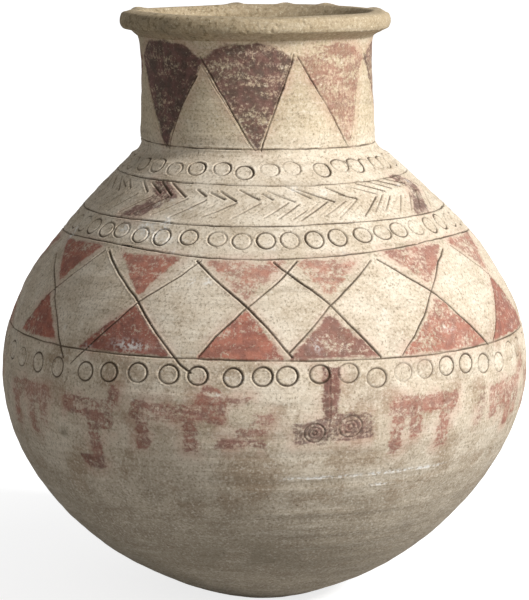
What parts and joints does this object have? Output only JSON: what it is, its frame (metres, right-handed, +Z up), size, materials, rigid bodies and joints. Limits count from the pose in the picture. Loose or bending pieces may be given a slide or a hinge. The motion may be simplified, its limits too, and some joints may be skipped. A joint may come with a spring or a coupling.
{
  "type": "pottery storage jar",
  "caption": "Wide-necked round-bellied pottery jar on a small flat foot, with a thick overhanging rim, incised lines and a painted shoulder.",
  "frame": {"origin": "centre of the flat foot that the jar stands on", "axes": "+Z up along the jar's axis, -Y towards the side seen in the picture, +X to the right of that view"},
  "size_m": [0.3568, 0.3568, 0.4],
  "materials": {
    "bare_clay": "matte",
    "cream_slip": "matte",
    "worn_rim_clay": "matte"
  },
  "bodies": {
    "root": {"base_pad": "bare_clay", "lower_bowl": "bare_clay", "upper_bowl": "bare_clay", "belly_course": "cream_slip", "lower_lattice_course": "cream_slip", "upper_lattice_course": "cream_slip", "herringbone_course": "cream_slip", "neck": "cream_slip", "luting_coil": "cream_slip", "rim_coil": "worn_rim_clay"}
  },
  "joints": []
}
